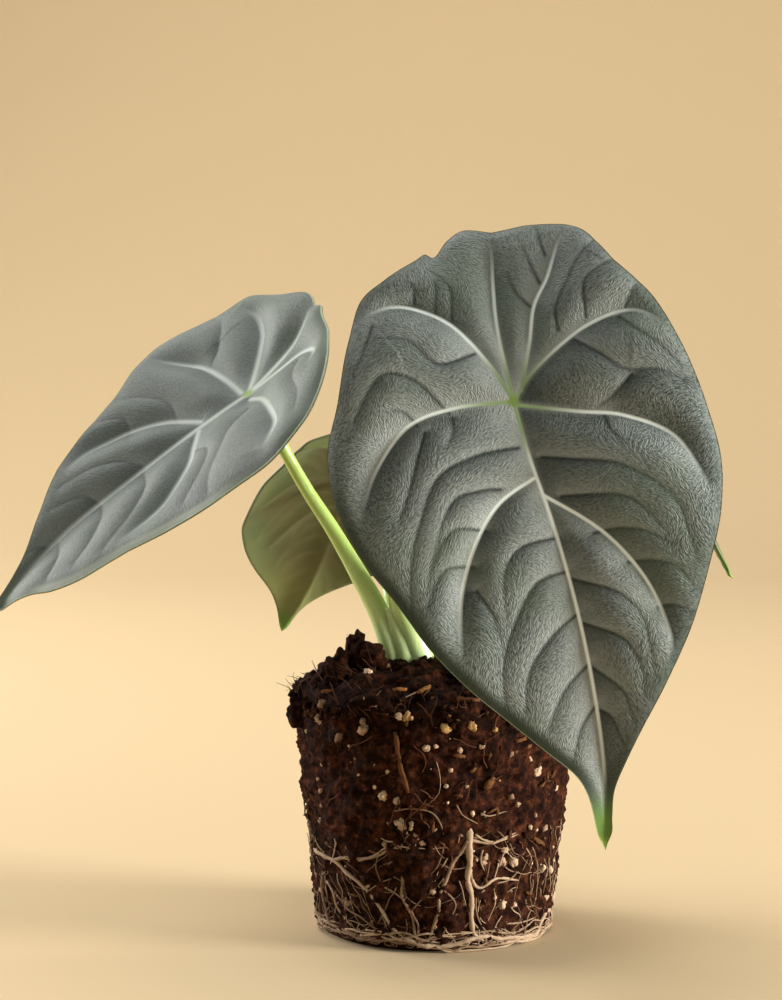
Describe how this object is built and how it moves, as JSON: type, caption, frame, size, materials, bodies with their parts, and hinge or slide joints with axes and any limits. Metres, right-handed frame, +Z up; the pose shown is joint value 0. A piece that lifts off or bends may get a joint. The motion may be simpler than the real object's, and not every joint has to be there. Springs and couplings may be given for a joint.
{
  "type": "potted maharani alocasia, out of its pot",
  "caption": "Young alocasia with broad puckered grey-green leaves on pale stalks, standing on its bare pot-shaped root ball.",
  "frame": {"origin": "centre of the root ball's flat base", "axes": "+Z up, -Y towards the side that the large leaf faces, +X to the right seen from there"},
  "size_m": [0.1759, 0.1311, 0.164],
  "materials": {
    "soil": "matte",
    "perlite": "matte",
    "prill": "satin",
    "root": "matte",
    "crown": "satin",
    "stalk": "satin",
    "leaf_upper": "satin",
    "leaf_under": "satin"
  },
  "bodies": {
    "root": {"root_ball": "soil", "roots": "root", "crown": "crown", "petiole_front": "stalk", "petiole_left": "stalk", "petiole_back_left": "stalk", "petiole_back_right": "stalk", "blade_front": "leaf_upper", "blade_left": "leaf_upper", "blade_back_left": "leaf_under", "blade_back_right": "leaf_under"}
  },
  "joints": []
}
